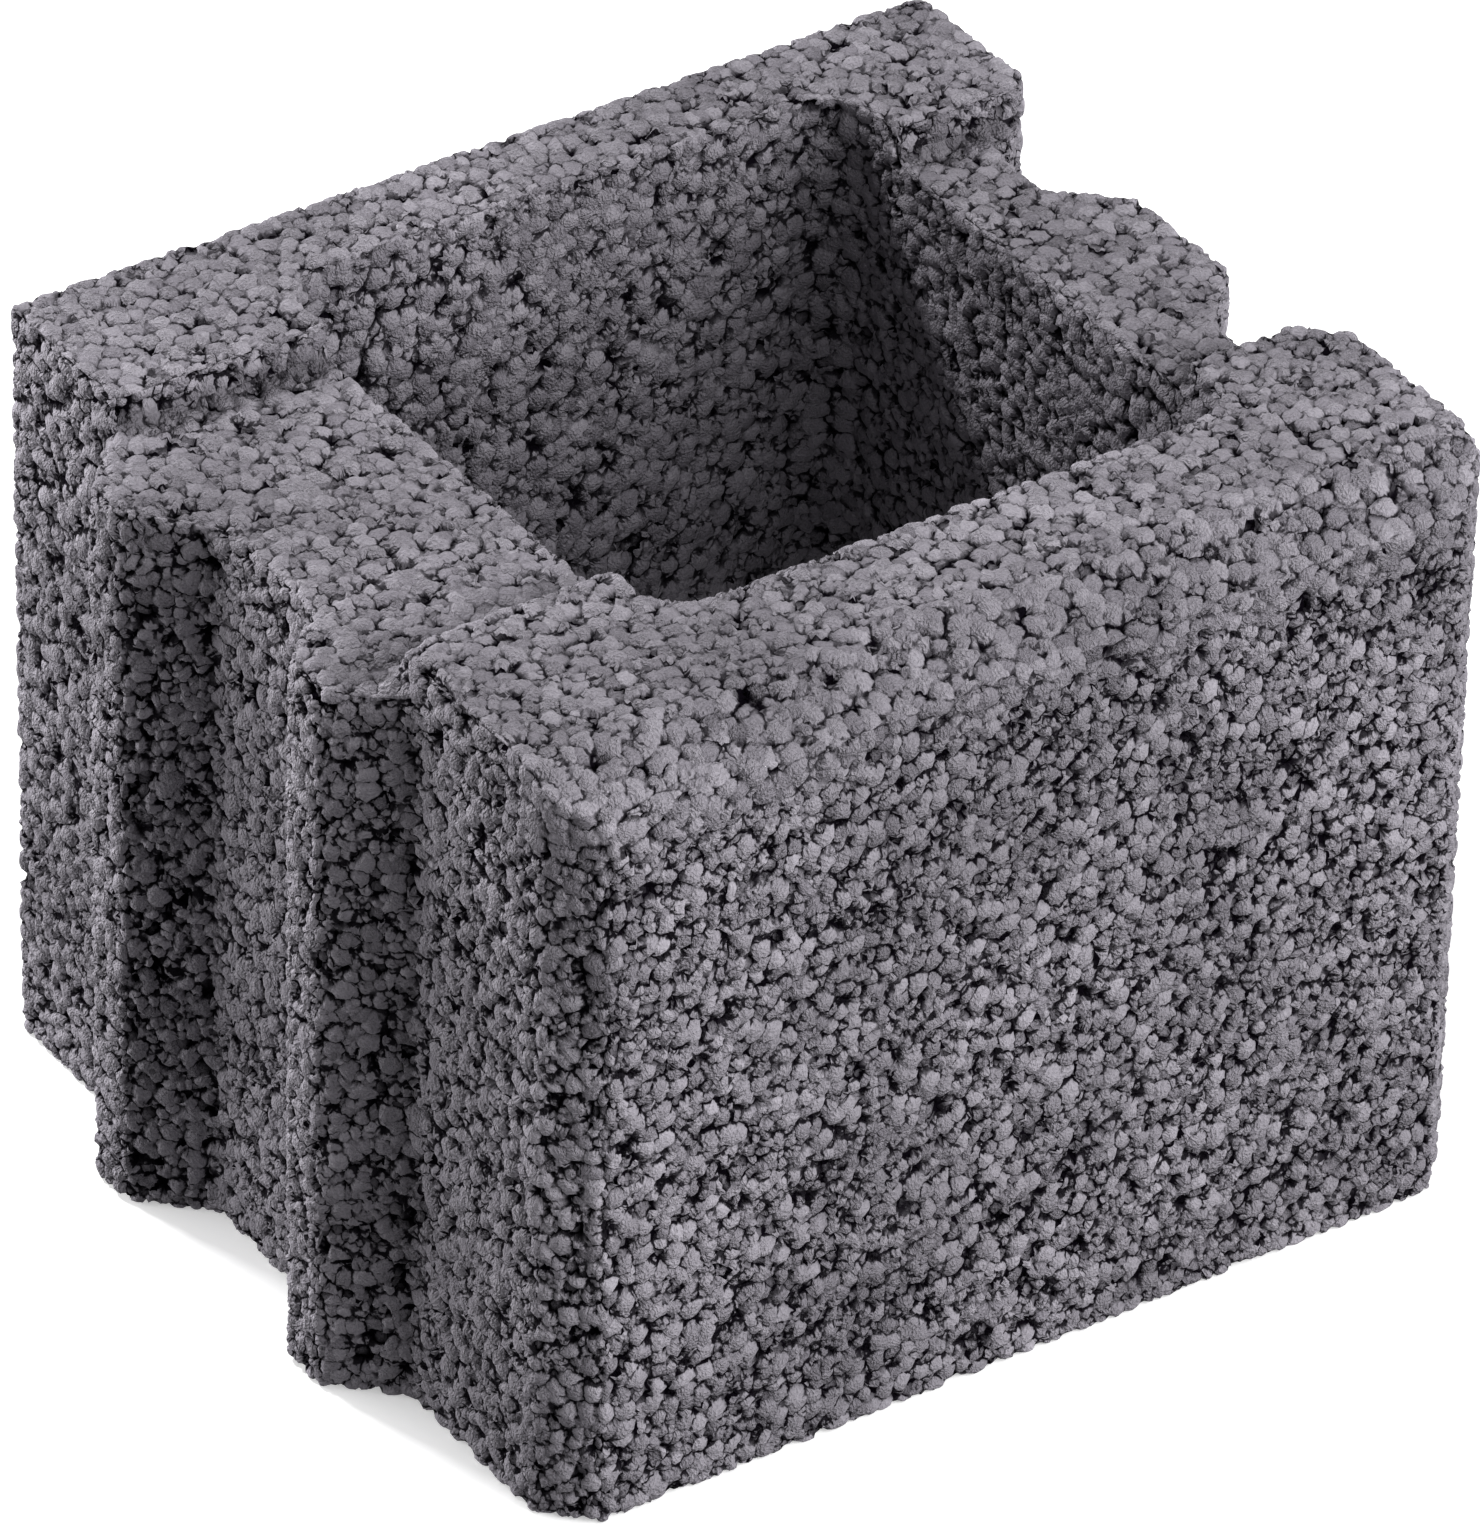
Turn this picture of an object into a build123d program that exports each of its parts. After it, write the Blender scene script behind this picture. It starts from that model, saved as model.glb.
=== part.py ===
"""Hollow garden wall block, cast in one piece, sizes in millimetres.

Frame: the origin is the middle of the block's bounding box, at the bottom.
X runs along the front face, Y from the front to the rear, Z up.
The left end (low X) has two upright ribs, the right end two grooves for a neighbour's ribs.
"""
import os
from math import cos, radians, tan

from build123d import *

# Block, measured without the ribs
body_length = 250.0
body_depth = 230.0
body_height = 200.0

# Walls around the core hole that runs from the top to the bottom
front_wall = 50.0
rear_wall = 24.5
left_web = 57.5
right_web = 39.5
core_corner_radius = 12.0

# The tops of the webs lie a little lower than the front and rear strips
recess_drop = 9.0
front_strip = 70.0
rear_strip = 46.0

# Ribs on the left end
rib_height = 15.5
rib_tip_width = 12.5
rib_pitch = 82.0
rib_pair_offset = 8.5
flank_angle = 45.0

# Play between a neighbour's rib and the groove it stands in, square to each face
joint_play = 1.0

# Broken edges: upright chamfers at the front corners, a slope along the top of the front face
corner_chamfer = 11.0
bevel_run = 18.0
bevel_drop = 11.0
edge_radius = 3.0

# The shape of a rib and of the groove that takes it
flank_slope = tan(radians(flank_angle))
rib_base_width = rib_tip_width + 2 * rib_height * flank_slope
groove_depth = rib_height + joint_play
groove_mouth_width = rib_base_width + 2 * joint_play / cos(radians(flank_angle))
groove_floor_width = groove_mouth_width - 2 * groove_depth * flank_slope
rib_centres = (rib_pair_offset - rib_pitch / 2, rib_pair_offset + rib_pitch / 2)

# Where the faces lie
left_end = -body_length / 2 + rib_height / 2
right_end = body_length / 2 + rib_height / 2
front_face = -body_depth / 2
rear_face = body_depth / 2
core_left = left_end + left_web
core_right = right_end - right_web
core_front = front_face + front_wall
core_rear = rear_face - rear_wall
recess_front = front_face + front_strip
recess_rear = rear_face - rear_strip
recess_floor = body_height - recess_drop


def trapezoid(centre, foot_x, foot_width, tip_x, tip_width):
    """Corners in plan of one rib or groove, from its front foot to its rear foot."""
    return [
        (foot_x, centre - foot_width / 2),
        (tip_x, centre - tip_width / 2),
        (tip_x, centre + tip_width / 2),
        (foot_x, centre + foot_width / 2),
    ]


# Plan of the block: along the front, back along the grooved end, along the rear, forward along the ribs
outline = [
    (left_end, front_face + corner_chamfer),
    (left_end + corner_chamfer, front_face),
    (right_end - corner_chamfer, front_face),
    (right_end, front_face + corner_chamfer),
]
for centre in rib_centres:
    outline += trapezoid(
        centre, right_end, groove_mouth_width, right_end - groove_depth, groove_floor_width
    )
outline += [(right_end, rear_face), (left_end, rear_face)]
for centre in reversed(rib_centres):
    rib = trapezoid(centre, left_end, rib_base_width, left_end - rib_height, rib_tip_width)
    outline += reversed(rib)

with BuildPart() as block:
    # The plan, with every upright edge rounded and the core left open
    with BuildSketch() as plan:
        with BuildLine():
            Polyline(*outline, close=True)
        make_face()
        fillet(plan.vertices(), radius=edge_radius)
        with Locations(((core_left + core_right) / 2, (core_front + core_rear) / 2)):
            RectangleRounded(
                core_right - core_left,
                core_rear - core_front,
                core_corner_radius,
                mode=Mode.SUBTRACT,
            )
    extrude(amount=body_height)

    # The recess across both webs; it leaves the front and rear strips at full height
    with Locations((0, (recess_front + recess_rear) / 2, recess_floor)):
        Box(
            2 * body_length,
            recess_rear - recess_front,
            2 * recess_drop,
            align=(Align.CENTER, Align.CENTER, Align.MIN),
            mode=Mode.SUBTRACT,
        )

    # The ribs stop at the level of the recess, also where they pass the front strip
    with Locations((left_end, 0, recess_floor)):
        Box(
            2 * rib_height,
            body_depth,
            2 * recess_drop,
            align=(Align.MAX, Align.CENTER, Align.MIN),
            mode=Mode.SUBTRACT,
        )

    # The slope along the front top edge; its cutter reaches past the edge at both sides
    with BuildSketch(Plane.YZ):
        with BuildLine():
            Polyline(
                (front_face - bevel_run, body_height - 2 * bevel_drop),
                (front_face + 2 * bevel_run, body_height + bevel_drop),
                (front_face - bevel_run, body_height + bevel_drop),
                close=True,
            )
        make_face()
    extrude(amount=body_length, both=True, mode=Mode.SUBTRACT)

block.part.label = "block"
os.makedirs("parts", exist_ok=True)
export_step(block.part, "parts/block.step")
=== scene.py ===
# %% [markdown]
# # A hollow garden wall block of porous concrete
#
# The block is one casting. Its section, hole, ribs, grooves and sloped edge already exist
# as a precise solid, so this lesson keeps that solid and only grows the pebbly skin on it.
# The order is: camera, studio, a fine mesh of the solid, worn edges, pebbles, material, and
# last the cut into pieces.

# %% Load the solid and note how big it is
import math

import bpy
import numpy as np
from mathutils import Matrix, Vector


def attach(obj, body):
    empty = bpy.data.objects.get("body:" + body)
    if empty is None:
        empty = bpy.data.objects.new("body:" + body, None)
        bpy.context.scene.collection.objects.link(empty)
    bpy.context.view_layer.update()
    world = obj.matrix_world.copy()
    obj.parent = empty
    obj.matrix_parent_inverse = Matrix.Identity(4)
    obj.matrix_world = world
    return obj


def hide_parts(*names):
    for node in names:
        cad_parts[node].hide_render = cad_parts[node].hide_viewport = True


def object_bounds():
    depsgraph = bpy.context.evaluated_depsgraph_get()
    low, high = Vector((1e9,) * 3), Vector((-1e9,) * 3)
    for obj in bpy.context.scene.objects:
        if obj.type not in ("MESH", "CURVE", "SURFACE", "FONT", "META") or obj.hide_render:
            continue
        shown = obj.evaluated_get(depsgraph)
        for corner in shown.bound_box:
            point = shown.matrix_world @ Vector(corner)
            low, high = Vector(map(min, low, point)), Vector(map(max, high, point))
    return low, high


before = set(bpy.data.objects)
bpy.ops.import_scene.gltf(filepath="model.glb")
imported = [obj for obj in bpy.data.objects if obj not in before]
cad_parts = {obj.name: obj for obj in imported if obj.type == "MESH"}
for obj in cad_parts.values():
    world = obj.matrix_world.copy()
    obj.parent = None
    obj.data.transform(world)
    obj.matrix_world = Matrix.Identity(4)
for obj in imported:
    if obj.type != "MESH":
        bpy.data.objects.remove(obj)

cad_box = [list(corner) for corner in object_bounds()]
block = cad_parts["block"]
print("solid from", np.round(cad_box[0], 4), "to", np.round(cad_box[1], 4), "m")

# %% [markdown]
# Sizes on the block are easiest to think of in millimetres, while the scene is in metres.
# Colours are noted as the hex values a colour picker shows, so one function turns them into
# the linear values that shaders work with.

# %% Units and colours
MM = 0.001


def linear(hex_colour):
    """A colour-picker value such as #808080 as linear red, green, blue and alpha."""
    out = []
    for i in (1, 3, 5):
        c = int(hex_colour[i : i + 2], 16) / 255
        out.append(c / 12.92 if c <= 0.04045 else ((c + 0.055) / 1.055) ** 2.4)
    return (*out, 1.0)


print("mid grey is", round(linear("#808080")[0], 3), "in linear light")

# %% [markdown]
# The photograph is a catalogue view from far away with a long lens: the upright edges stay
# almost parallel. The camera was found by matching the block's corners, and is kept as a
# position, three turns and a focal length. The picture is 1480 by 1530 pixels.

# %% Camera at the photograph's angle
PHOTO_SIZE = (1480, 1530)
FOCAL_PIXELS = 13000
YAW, PITCH, ROLL = math.radians(34.73), math.radians(34.92), math.radians(1.32)
CAMERA_AT = Vector((-1372.0, -1988.3, 1784.3)) * MM

forward = Vector((
    math.sin(YAW) * math.cos(PITCH),
    math.cos(YAW) * math.cos(PITCH),
    -math.sin(PITCH),
))
level_right = Vector((math.cos(YAW), -math.sin(YAW), 0))
level_up = level_right.cross(forward)
right = math.cos(ROLL) * level_right + math.sin(ROLL) * level_up
up = math.cos(ROLL) * level_up - math.sin(ROLL) * level_right

lens = bpy.data.cameras.new("camera")
lens.sensor_width = 36
lens.lens = lens.sensor_width * FOCAL_PIXELS / max(PHOTO_SIZE)
lens.clip_start, lens.clip_end = 0.1, 30
camera = bpy.data.objects.new("camera", lens)
turn = Matrix((right, up, -forward)).transposed().to_4x4()
camera.matrix_world = Matrix.Translation(CAMERA_AT) @ turn
bpy.context.scene.collection.objects.link(camera)
bpy.context.scene.camera = camera
print("lens", round(lens.lens), "mm at", round(CAMERA_AT.length, 2), "m")

# %% [markdown]
# The studio is a white floor that glows a little, as a light table does, so that it comes out
# plain white. Light that bounces off it would wash out the lower half of the block, so the
# floor is hidden from bounced light.

# %% White floor
floor_mesh = bpy.data.meshes.new("floor")
HALF_WIDTH = 6.0
FLOOR_GLOW = 0.4
corners = [(x * HALF_WIDTH, y * HALF_WIDTH, 0) for x, y in ((-1, -1), (1, -1), (1, 1), (-1, 1))]
floor_mesh.from_pydata(corners, [], [(0, 1, 2, 3)])
floor = bpy.data.objects.new("floor", floor_mesh)
bpy.context.scene.collection.objects.link(floor)
white = bpy.data.materials.new("white_floor")
white.use_nodes = True
shader = white.node_tree.nodes["Principled BSDF"]
shader.inputs["Base Color"].default_value = linear("#f4f4f4")
shader.inputs["Roughness"].default_value = 0.9
shader.inputs["Emission Color"].default_value = (1, 1, 1, 1)
shader.inputs["Emission Strength"].default_value = FLOOR_GLOW
floor_mesh.materials.append(white)
floor.visible_diffuse = False
print("floor", 2 * HALF_WIDTH, "m wide")

# %% [markdown]
# Three soft boxes light the block. The small key stands high behind it on the left: it lights
# the tops and reaches into the hole only as far as the right wall. The low one grazes the
# ribs of the left end. The large one on the right lights the front face evenly. A rib's
# flank that faces the camera turns away from all three, which is why it goes dark.

# %% Three soft boxes and an even surround
AIM = Vector((0, 0, 0.1))
SURROUND = 0.22


def soft_box(name, towards, distance, width, height, watts):
    """A rectangular lamp that looks at the block from the given direction."""
    data = bpy.data.lights.new(name, "AREA")
    data.shape, data.size, data.size_y, data.energy = "RECTANGLE", width, height, watts
    lamp = bpy.data.objects.new(name, data)
    lamp.location = AIM + Vector(towards).normalized() * distance
    lamp.rotation_euler = (AIM - lamp.location).to_track_quat("-Z", "Y").to_euler()
    bpy.context.scene.collection.objects.link(lamp)
    print(name, "at", [round(c, 2) for c in lamp.location])


soft_box("key_box", (-0.25, 0.66, 0.75), 1.4, 0.16, 0.16, 14.8)
soft_box("low_box", (-0.68, 0.75, 0.12), 1.3, 0.8, 0.4, 17)
soft_box("right_box", (0.5, -0.85, 0.48), 2.2, 2.4, 2.4, 80)

world = bpy.data.worlds.new("surround")
world.use_nodes = True
world.node_tree.nodes["Background"].inputs["Color"].default_value = (1, 1, 1, 1)
world.node_tree.nodes["Background"].inputs["Strength"].default_value = SURROUND
bpy.context.scene.world = world
bpy.context.scene.view_settings.view_transform = "Standard"

# %% [markdown]
# Pebbles 3 to 4 mm wide need a mesh of about 1 mm. A voxel remesh lays an even net of small
# squares over the whole solid, whatever its faces were.

# %% An even net over the solid
VOXEL = 0.95 * MM


def applied(obj):
    """The object's mesh with its modifiers applied."""
    graph = bpy.context.evaluated_depsgraph_get()
    return bpy.data.meshes.new_from_object(obj.evaluated_get(graph), depsgraph=graph)


net = bpy.data.objects.new("net", block.data.copy())
bpy.context.scene.collection.objects.link(net)
weld = net.modifiers.new("weld", "WELD")
weld.merge_threshold = 0.01 * MM
remesh = net.modifiers.new("remesh", "REMESH")
remesh.mode, remesh.voxel_size = "VOXEL", VOXEL
skin = applied(net)
print(len(skin.vertices), "points,", len(skin.polygons), "squares")

# %% [markdown]
# A block comes out of its mould with crisp edges and loses them within a day, because a
# pebble on an edge has little to hold it. Averaging each point with its neighbours rounds
# the edges. How far a point moves inwards also tells where the edges are, which is kept for
# later as the value called edge. A longer averaging finds the wider zone of paler worn edges
# and of inner corners that get painted shade, called corner. The tops of the ribs stand free
# at the end of the block and take most knocks, so they alone get the shape of the longer
# averaging.

# %% Soften the edges
SOFTENING_ROUNDS = 5
CORNER_ROUNDS = 60
FADE = 8 * MM
RIB_TOP_Z, RIB_X, RIBS_Y = 0.176, -0.106, (-0.066, 0.08)


def read(collection, name, width):
    """One row of values per element of a mesh, as an array."""
    kind = np.int32 if name == "vertices" else np.float32
    out = np.empty(len(collection) * width, dtype=kind)
    collection.foreach_get(name, out)
    return out.reshape(-1, width)


points = read(skin.vertices, "co", 3).astype(float)
normals = read(skin.vertices, "normal", 3).astype(float)
edges = read(skin.edges, "vertices", 2)
ends = np.concatenate([edges[:, 0], edges[:, 1]])
others = np.concatenate([edges[:, 1], edges[:, 0]])
neighbours = np.bincount(ends, minlength=len(points))


def averaged(places, rounds):
    """The places after each has moved halfway to the mean of its neighbours, so many times."""
    for _ in range(rounds):
        sums = [np.bincount(ends, places[others, axis], len(places)) for axis in range(3)]
        places = 0.5 * places + 0.5 * np.stack(sums, axis=1) / neighbours[:, None]
    return places


soft = averaged(points, SOFTENING_ROUNDS)
softer = averaged(soft, CORNER_ROUNDS)
edge = np.einsum("ij,ij->i", points - soft, normals) / MM
corner = np.einsum("ij,ij->i", soft - softer, normals) / MM
x, y, z = points.T
rib_top = np.clip((z - RIB_TOP_Z) / FADE, 0, 1) * np.clip((RIB_X - x) / FADE, 0, 1)
rib_top *= (y > RIBS_Y[0]) & (y < RIBS_Y[1])
soft += (softer - soft) * rib_top[:, None]
skin.vertices.foreach_set("co", soft.ravel())
print("edges moved in by up to", round(edge.max(), 2), "mm")
print("corner from", corner.min().round(2), "to", corner.max().round(2), "mm")

# %% [markdown]
# The skin isn't the same all over. Against the mould walls the mix is dragged upwards when
# the block is pushed out, which leaves fine grains. On top, in the hole and on the sloped
# edge the larger pebbles stay whole. The value called coarse runs from 0 to 1 for this. The
# recess floor at the foot of the front strip's step also counts as an inner corner, so that
# painted shade darkens it.

# %% Where the pebbles are coarse
HOLE_X, HOLE_Y = (-0.065, 0.096), (-0.068, 0.0935)
ON_WALL, ON_TOP, IN_HOLE, ON_SLOPE = 0.15, 0.75, 0.4, 0.9
top_z, front_y = cad_box[1][2], cad_box[0][1]
facing_up = normals[:, 2]
in_hole = (x > HOLE_X[0]) & (x < HOLE_X[1]) & (y > HOLE_Y[0]) & (y < HOLE_Y[1])
on_top = np.clip((facing_up - 0.2) / 0.4, 0, 1)
on_slope = np.clip((z - (top_z - 24 * MM)) / FADE, 0, 1) * (y < front_y + 20 * MM)
coarse = ON_WALL + ON_TOP * on_top + IN_HOLE * in_hole + ON_SLOPE * on_slope
coarse = np.clip(coarse, 0, 1)

STEP_Y, RECESS_Z = -45 * MM, 191 * MM
STEP_SHADE_REACH, STEP_SHADE_DEPTH = 17 * MM, 1.3
# Painted shade: the recess floor just behind the front strip's step is made darker through the
# corner value.
from_step = (y - STEP_Y) / STEP_SHADE_REACH
on_recess = (np.abs(z - RECESS_Z) < 2.5 * MM) & (facing_up > 0.5) & (from_step > 0)
corner -= STEP_SHADE_DEPTH * np.exp(-(from_step**2)) * on_recess
for name, values in (("edge", edge), ("corner", corner), ("coarse", coarse)):
    attribute = skin.attributes.new(name, "FLOAT", "POINT")
    attribute.data.foreach_set("value", values.astype(np.float32))
print("coarse on", round(100 * float((coarse > 0.5).mean())), "% of the points")

# %% [markdown]
# The pebble pattern is used twice: once to push the mesh in and out, and once more in the
# material for the fine detail that a 1 mm mesh can't hold. Both are node trees, so the same
# functions write the pattern into either, and the two always line up.

# %% One way to add a node
def add(tree, kind, sockets=None, output=0, **settings):
    """Adds a node. sockets maps an input's name or number to a value or to another node's
    output. Returns the wanted output socket."""
    node = tree.nodes.new(kind)
    for name, value in settings.items():
        setattr(node, name, value)
    for name, value in (sockets or {}).items():
        if isinstance(value, bpy.types.NodeSocket):
            tree.links.new(value, node.inputs[name])
        else:
            node.inputs[name].default_value = value
    return None if output is None else node.outputs[output]


def maths(tree, operation, a, b=0.0, c=0.0, clamp=False):
    """A sum, a product and so on of numbers."""
    return add(tree, "ShaderNodeMath", {0: a, 1: b, 2: c}, operation=operation, use_clamp=clamp)


def vectors(tree, operation, a, b, output=0):
    """A sum, a product and so on of vectors."""
    return add(tree, "ShaderNodeVectorMath", {0: a, 1: b}, output, operation=operation)


def scaled(tree, vector, factor):
    """A vector times a number."""
    return add(tree, "ShaderNodeVectorMath", {0: vector, "Scale": factor}, operation="SCALE")


def ramp(tree, value, low, high, start=0.0, end=1.0):
    """A smooth step from start to end as value goes from low to high."""
    return add(
        tree,
        "ShaderNodeMapRange",
        {"Value": value, "From Min": low, "From Max": high, "To Min": start, "To Max": end},
        interpolation_type="SMOOTHSTEP",
    )


print("helpers: add, maths, vectors, scaled and ramp")

# %% [markdown]
# One layer of pebbles is a Voronoi pattern: each cell is a pebble with a domed top that tilts
# its own way and sits at its own depth. How steep such a dome is follows from the distance to
# its centre, so the slope is worked out together with the height.

# %% A layer of pebbles
TILT = 0.5
SINK = 0.1
HALF = (0.5, 0.5, 0.5)  # chance values run from 0 to 1, so this centres them on 0


def pebbles(tree, place, width, dome):
    """Pebbles of that width in mm: their height in mm, how steep it is along each axis, the
    distance to a pebble's centre, and two random values for each pebble."""
    scale = maths(tree, "DIVIDE", 1.0, width)
    distance = add(tree, "ShaderNodeTexVoronoi", {"Vector": place, "Scale": scale}, "Distance")
    colour = distance.node.outputs["Color"]
    centre = distance.node.outputs["Position"]
    random = add(tree, "ShaderNodeSeparateXYZ", {0: colour}, 0)
    level = random.node.outputs[1]
    arm = vectors(tree, "SUBTRACT", place, centre)
    lean = vectors(tree, "SUBTRACT", colour, HALF)
    tilt = vectors(tree, "DOT_PRODUCT", arm, lean, "Value")
    height = maths(tree, "MULTIPLY", maths(tree, "POWER", distance, 2.0), -dome)
    height = maths(tree, "MULTIPLY_ADD", tilt, TILT, height)
    sunk = maths(tree, "MULTIPLY", maths(tree, "MULTIPLY_ADD", level, SINK, -SINK), width)
    bend = maths(tree, "MULTIPLY", maths(tree, "POWER", scale, 2.0), -2 * dome)
    slope = vectors(tree, "ADD", scaled(tree, arm, bend), scaled(tree, lean, TILT))
    return maths(tree, "ADD", height, sunk), slope, distance, random, level


print("a pebble sinks by up to", SINK, "of its width")

# %% [markdown]
# The second Voronoi value is the distance to the second nearest centre. Where it is hardly
# more than the first, a place lies between two pebbles. Counting the first distance more
# than once makes the pebbles round: near the middle of a side they touch, and where three
# meet a dark corner stays open.

# %% The gaps between the pebbles
ROUNDNESS = 1.6
CLOSENESS = 0.19


def gaps(tree, place, width, distance, ragged, gap_width):
    """How far a place lies in the gap between two such pebbles, from 0 to 1."""
    scale = maths(tree, "DIVIDE", 1.0, width)
    second = add(
        tree, "ShaderNodeTexVoronoi", {"Vector": place, "Scale": scale}, "Distance", feature="F2"
    )
    border = maths(tree, "MULTIPLY_ADD", distance, -ROUNDNESS, second)
    border = maths(tree, "MULTIPLY_ADD", border, 0.5, CLOSENESS)
    border = maths(tree, "MULTIPLY_ADD", border, width, ragged)
    return ramp(tree, border, 0.05 * gap_width, 0.5 * gap_width, 1.0, 0.0)


def laid_over(tree, below, above, shown):
    """Two values mixed by how much of the upper layer is shown there."""
    return add(tree, "ShaderNodeMix", {0: shown, 2: below, 3: above})


apart = 4 * CLOSENESS / (ROUNDNESS - 1)
print("neighbours part where their middles are", round(apart, 2), "widths from each other")

# %% [markdown]
# Two layers lie over each other: grains of 2.8 mm everywhere, and pebbles of a little over
# 4 mm in the places that chance gives them. Some grains have dropped out and leave pits. A
# fine noise makes the gaps ragged, and paste fills part of them.

# %% Both layers together
GRAIN_WIDTH, GRAIN_DOME = 2.8, 1.2
WALL_PEBBLE_WIDTH, TOP_PEBBLE_WIDTH, PEBBLE_DOME = 4.2, 4.3, 1.8
PIT_DEPTH = 2.1
STEEPNESS = 0.75
RAGGEDNESS = 1.5


def both_layers(tree, place, coarse, share, opening, gap_width):
    """The block's skin at a place in mm: the height in mm without the gaps, how steep it is,
    how far the place lies in a gap from 0 to 1, and a random value per pebble."""
    low, low_slope, low_distance, low_random, low_tone = pebbles(
        tree, place, GRAIN_WIDTH, GRAIN_DOME
    )
    # Fewer grains drop out where the skin is coarse.
    pits = ramp(tree, share, 0.0, 1.0, 0.12, 0.04)
    pits = ramp(tree, maths(tree, "SUBTRACT", low_random, pits), 0.0, 0.06, -PIT_DEPTH, 0.0)
    low = maths(tree, "ADD", low, pits)
    wide = maths(tree, "GREATER_THAN", coarse, 0.5)
    width = laid_over(tree, WALL_PEBBLE_WIDTH, TOP_PEBBLE_WIDTH, wide)
    high, high_slope, high_distance, high_random, high_tone = pebbles(
        tree, place, width, PEBBLE_DOME
    )
    # A pebble shows where its random value is under the share of pebbles.
    shown = ramp(tree, share, 0.0, 1.0, 0.45, 0.78)
    shown = ramp(tree, maths(tree, "SUBTRACT", shown, high_random), -0.02, 0.02)
    height = maths(tree, "MULTIPLY", laid_over(tree, low, high, shown), STEEPNESS)
    tone = laid_over(tree, low_tone, high_tone, shown)
    slope = add(
        tree, "ShaderNodeMix", {0: shown, 4: low_slope, 5: high_slope}, 1, data_type="VECTOR"
    )

    ragged = add(tree, "ShaderNodeTexNoise", {"Vector": place, "Scale": 0.8, "Detail": 2.0}, "Fac")
    ragged = maths(tree, "MULTIPLY_ADD", ragged, RAGGEDNESS, -RAGGEDNESS / 2)
    width = laid_over(tree, GRAIN_WIDTH, width, shown)
    distance = laid_over(tree, low_distance, high_distance, shown)
    gap = maths(tree, "MULTIPLY", gaps(tree, place, width, distance, ragged, gap_width), opening)
    return height, slope, gap, tone


print("grains", GRAIN_WIDTH, "mm, pebbles", WALL_PEBBLE_WIDTH, "to", TOP_PEBBLE_WIDTH, "mm")

# %% [markdown]
# Geometry nodes read each point's place in mm. Straight cell borders would look like cut
# glass, so the place is shaken a little. Slow noises say where the pebbles lie bare, where
# paste has shut the gaps, where the edges are worn off and where the block is damp.

# %% Slow noises over the skin
growth = bpy.data.node_groups.new("pebble_growth", "GeometryNodeTree")
growth.interface.new_socket("Geometry", in_out="INPUT", socket_type="NodeSocketGeometry")
growth.interface.new_socket("Geometry", in_out="OUTPUT", socket_type="NodeSocketGeometry")
position = add(growth, "GeometryNodeInputPosition")
place = scaled(growth, position, 1 / MM)
SHAKE = 2.0
DEEPEST_WEAR = -1.4


def slow_noise(scale, detail, output="Fac"):
    """A soft noise over the block: scale is how many of its waves go into a millimetre."""
    return add(
        growth, "ShaderNodeTexNoise", {"Vector": place, "Scale": scale, "Detail": detail}, output
    )


def stored_before(name):
    """A value that was stored on the points of the net."""
    return add(growth, "GeometryNodeInputNamedAttribute", {"Name": name}, data_type="FLOAT")


shake = vectors(growth, "SUBTRACT", slow_noise(0.3, 2.0, "Color"), HALF)
shaken = vectors(growth, "ADD", place, scaled(growth, shake, SHAKE))
coarse_value, edge_value = stored_before("coarse"), stored_before("edge")
patch = maths(growth, "MULTIPLY_ADD", slow_noise(0.04, 2.0), 0.7, -0.35)
share = maths(growth, "ADD", coarse_value, patch, clamp=True)
shut = ramp(growth, share, 0.0, 1.0, 0.3, 0.4)
opening = maths(growth, "SUBTRACT", slow_noise(0.28, 1.0), shut)
opening = ramp(growth, opening, 0.0, 0.16, 0.15, 1.0)
wear = ramp(growth, slow_noise(0.11, 2.0), 0.5, 0.72, 0.0, DEEPEST_WEAR)
wear = maths(growth, "MULTIPLY", wear, ramp(growth, edge_value, 0.08, 0.4))
damp = ramp(growth, slow_noise(0.016, 3.0), 0.3, 0.7, 0.82, 1.2)
print("noises: shake, patch, opening, wear and damp")

# %% [markdown]
# The height of the skin moves each point along its normal. The shaken place and the slow
# values stay on the points. The material reads them there, finds the same pebbles again, and
# doesn't have to work the slow noises out for each ray.

# %% Grow the pebbles on the net
MESH_GAP_WIDTH, MESH_SHARE = 1.5, 0.75
height, _, gap, _ = both_layers(growth, shaken, coarse_value, share, opening, MESH_GAP_WIDTH)
height = maths(growth, "ADD", maths(growth, "SUBTRACT", height, gap), wear)
push = maths(growth, "MULTIPLY", height, MESH_SHARE * MM)
push = scaled(growth, add(growth, "GeometryNodeInputNormal"), push)
stored = add(growth, "NodeGroupInput")
for name, kind, value in (
    ("grain_place", "FLOAT_VECTOR", shaken),
    ("share", "FLOAT", share),
    ("opening", "FLOAT", opening),
    ("damp", "FLOAT", damp),
):
    stored = add(
        growth,
        "GeometryNodeStoreNamedAttribute",
        {"Geometry": stored, "Name": name, "Value": value},
        data_type=kind,
        domain="POINT",
    )
moved = add(growth, "GeometryNodeSetPosition", {"Geometry": stored, "Offset": push})
add(growth, "NodeGroupOutput", {0: moved}, output=None)

net.modifiers.clear()
net.data = skin
net.modifiers.new("growth", "NODES").node_group = growth
grown = applied(net)
bpy.data.objects.remove(net)
print(len(grown.vertices), "points moved")

# %% [markdown]
# The material is through-coloured concrete: grey cement paste coats every pebble, so pebbles
# differ only a little from each other. The gaps get painted shade, nearly black: light hardly
# reaches the bottom of a gap, so the painted shade deepens with depth. Large soft patches come
# from uneven moisture and cement. The surface is dull, and the gaps don't shine at all.

# %% Anthracite porous concrete
concrete = bpy.data.materials.new("porous_concrete")
concrete.use_nodes = True
tree = concrete.node_tree
surface = tree.nodes["Principled BSDF"]
surface.inputs["Roughness"].default_value = 0.88


def stored_on_mesh(name, output="Fac"):
    """A value that geometry nodes or the arrays before them left on the points."""
    return add(tree, "ShaderNodeAttribute", None, output, attribute_name=name)


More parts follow.
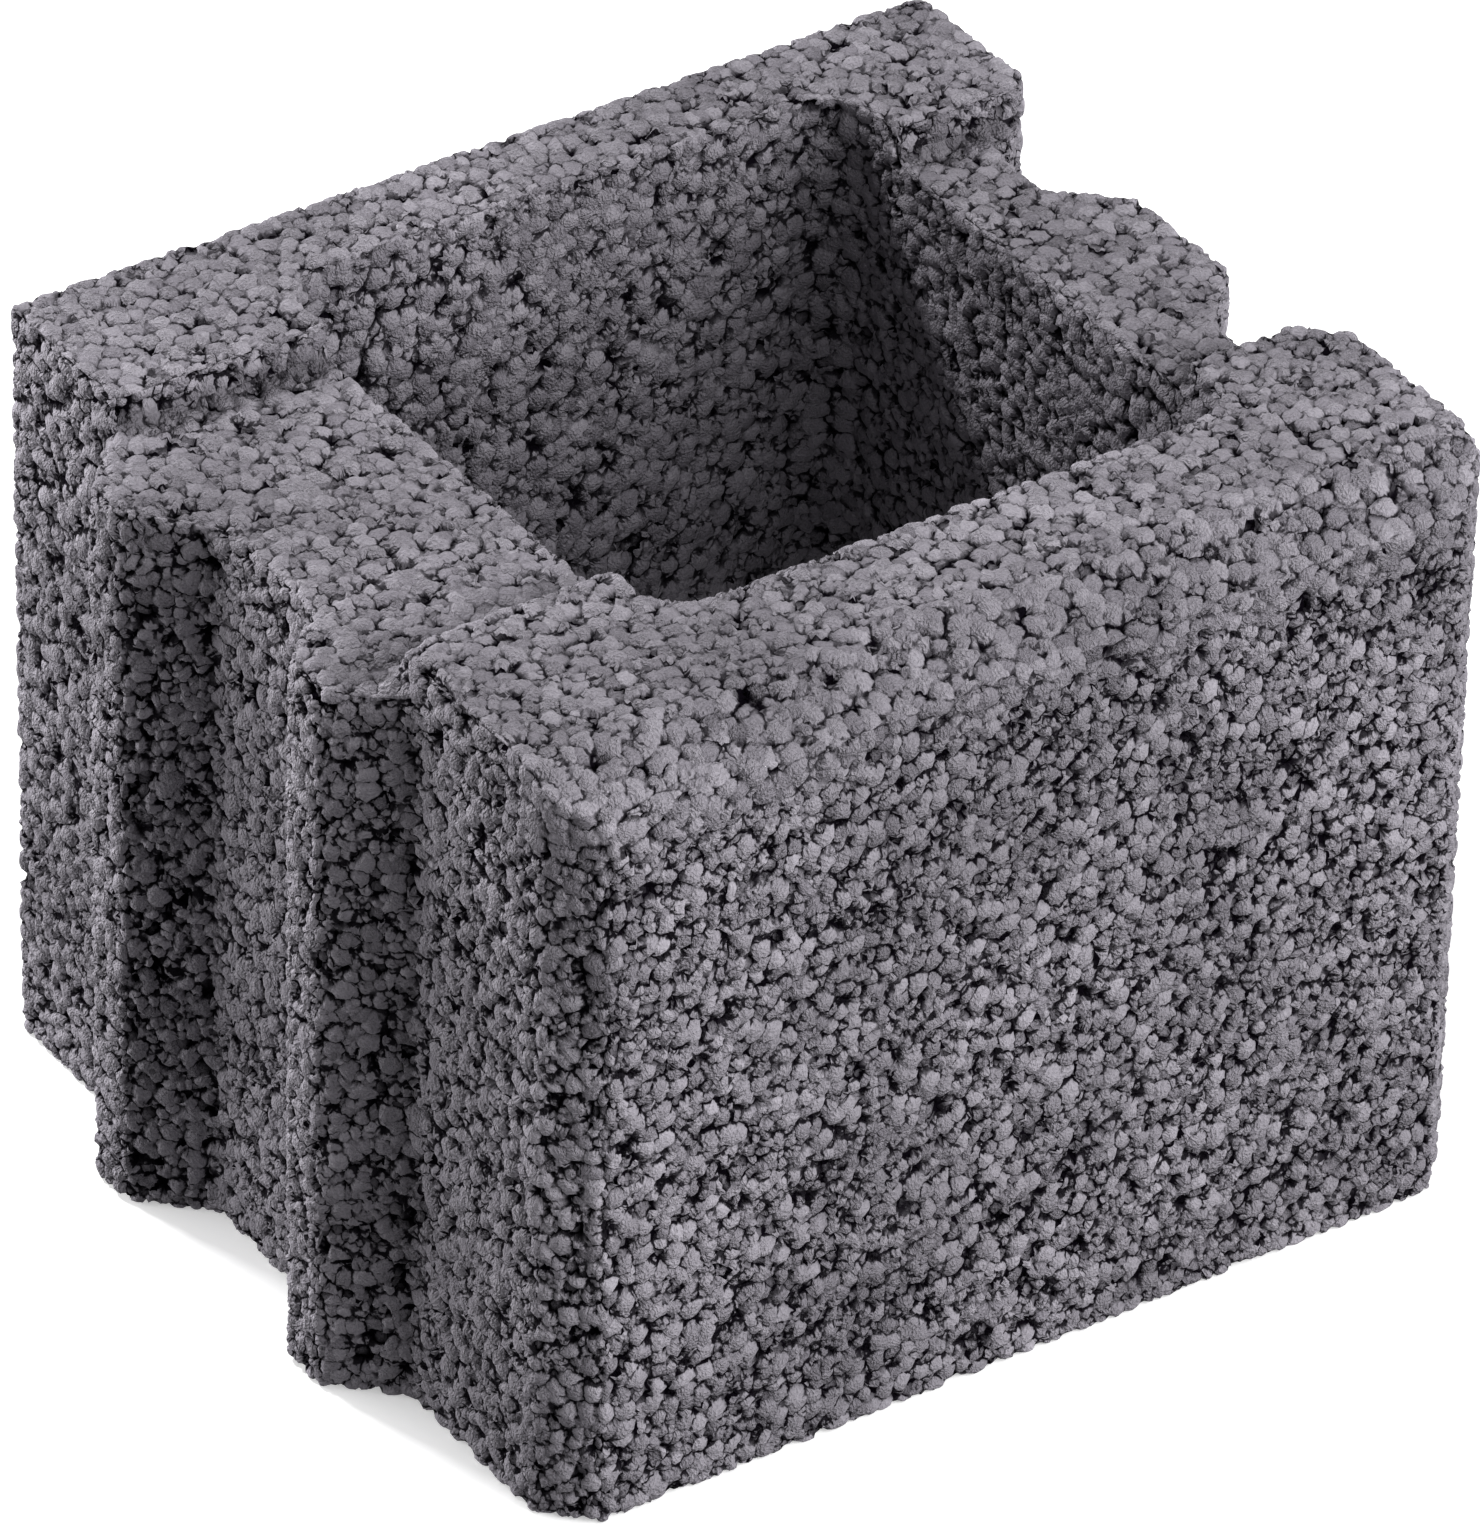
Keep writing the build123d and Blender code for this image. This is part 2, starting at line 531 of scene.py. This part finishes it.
GAP_WIDTH = 0.8
SHINE = 0.3
place, coarse_value = stored_on_mesh("grain_place", "Vector"), stored_on_mesh("coarse")
height, slope, gap, random = both_layers(
    tree, place, coarse_value, stored_on_mesh("share"), stored_on_mesh("opening"), GAP_WIDTH
)
# Painted shade: gaps and deeper places are darkened towards the near-black gap colour.
depth = ramp(tree, maths(tree, "SUBTRACT", height, gap), -2.6, -0.8)
gap_shade = maths(tree, "MULTIPLY", gap, ramp(tree, coarse_value, 0.2, 0.9, -0.93, -0.7))
shade = maths(tree, "MULTIPLY_ADD", depth, gap_shade, depth)
tree.links.new(maths(tree, "MULTIPLY", shade, SHINE), surface.inputs["Specular IOR Level"])
shade = maths(tree, "MULTIPLY", shade, stored_on_mesh("damp"))
print("gaps", GAP_WIDTH, "mm wide")

# %% [markdown]
# Worn corners are paler, and inner corners get painted shade. A fine noise gives the paste the
# speckle of sand.

# %% Corners and speckle
corner_value = stored_on_mesh("corner")
# Painted shade darkens inner corners here; the next line makes worn convex edges paler.
shade = maths(tree, "MULTIPLY", shade, ramp(tree, corner_value, -1.2, 0.0, 0.6, 1.0))
shade = maths(tree, "MULTIPLY", shade, ramp(tree, corner_value, 0.2, 1.2, 1.0, 1.15))
tooth = add(tree, "ShaderNodeTexNoise", {"Vector": place, "Scale": 1.5, "Detail": 2.0}, "Fac")
shade = maths(tree, "MULTIPLY", shade, ramp(tree, tooth, 0.3, 0.7, 0.84, 1.1))


def blend(factor, dark, pale, **settings):
    """Two colours mixed by a factor from 0 to 1."""
    sockets = {0: factor, 6: dark, 7: pale}
    return add(tree, "ShaderNodeMix", sockets, 2, data_type="RGBA", **settings)


paste = blend(random, linear("#827e86"), linear("#9a969e"))
# The near-black #0e0b11 is painted shade in the gaps and hollows.
tone = blend(shade, linear("#0e0b11"), paste, clamp_factor=False)
tree.links.new(tone, surface.inputs["Base Color"])
print("paste from #827e86 to #9a969e, gaps #0e0b11")

# %% [markdown]
# The same fine noise roughens the surface as a bump. The slopes of the pebbles lean the
# shading direction too, which sharpens them between the points of the mesh. They are known
# exactly, so they are taken off the normal directly: first the part of the slope that lies
# along the normal comes out, and then the rest is subtracted.

# %% Tooth and slopes
TOOTH = 1.6 * MM
normal = add(tree, "ShaderNodeBump", {"Strength": 1.0, "Distance": TOOTH, "Height": tooth})
along = scaled(tree, normal, vectors(tree, "DOT_PRODUCT", slope, normal, "Value"))
across = scaled(tree, vectors(tree, "SUBTRACT", slope, along), STEEPNESS)
leaning = vectors(tree, "SUBTRACT", normal, across)
leaning = add(tree, "ShaderNodeVectorMath", {0: leaning}, operation="NORMALIZE")
tree.links.new(leaning, surface.inputs["Normal"])
print("material", concrete.name, "has", len(tree.nodes), "nodes")

# %% [markdown]
# The skin is cut into six pieces where one wall meets the next, so that no piece grows too
# heavy. They share the points along the cuts and keep the whole skin's shading directions,
# so the cuts don't show.

# %% Cut the skin into pieces
WEB_FRONT, WEB_REAR = -45 * MM, 69 * MM
MID_X = 10 * MM
quads = read(grown.polygons, "vertices", 4)
place_now = read(grown.vertices, "co", 3)
turned = read(grown.vertices, "normal", 3)
kept = {
    "grain_place": ("FLOAT_VECTOR", "vector", 3),
    "coarse": ("FLOAT", "value", 1),
    "share": ("FLOAT", "value", 1),
    "opening": ("FLOAT", "value", 1),
    "damp": ("FLOAT", "value", 1),
    "corner": ("FLOAT", "value", 1),
}
values = {
    name: read(grown.attributes[name].data, field, width)
    for name, (_, field, width) in kept.items()
}


def cut_piece(name, chosen):
    """Makes a piece of the skin from the chosen squares, in place and in its material."""
    used, renumbered = np.unique(quads[chosen], return_inverse=True)
    mesh = bpy.data.meshes.new(name)
    mesh.from_pydata(place_now[used], [], renumbered.reshape(-1, 4))
    for attribute_name, (kind, field, _) in kept.items():
        attribute = mesh.attributes.new(attribute_name, kind, "POINT")
        attribute.data.foreach_set(field, values[attribute_name][used].ravel())
    mesh.polygons.foreach_set("use_smooth", [True] * len(mesh.polygons))
    mesh.normals_split_custom_set_from_vertices(turned[used])
    mesh.materials.append(concrete)
    piece = bpy.data.objects.new(name, mesh)
    bpy.context.scene.collection.objects.link(piece)
    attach(piece, "root")
    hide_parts("block")
    print(name, 2 * len(mesh.polygons), "triangles")


middle = place_now[quads].mean(axis=1)
left_half = middle[:, 0] < MID_X
front, rear = middle[:, 1] < WEB_FRONT, middle[:, 1] > WEB_REAR
web = ~(front | rear)
for name, chosen in (
    ("front_wall_left", front & left_half),
    ("front_wall_right", front & ~left_half),
    ("rear_wall_left", rear & left_half),
    ("rear_wall_right", rear & ~left_half),
    ("ribbed_web", web & left_half),
    ("grooved_web", web & ~left_half),
):
    cut_piece(name, chosen)
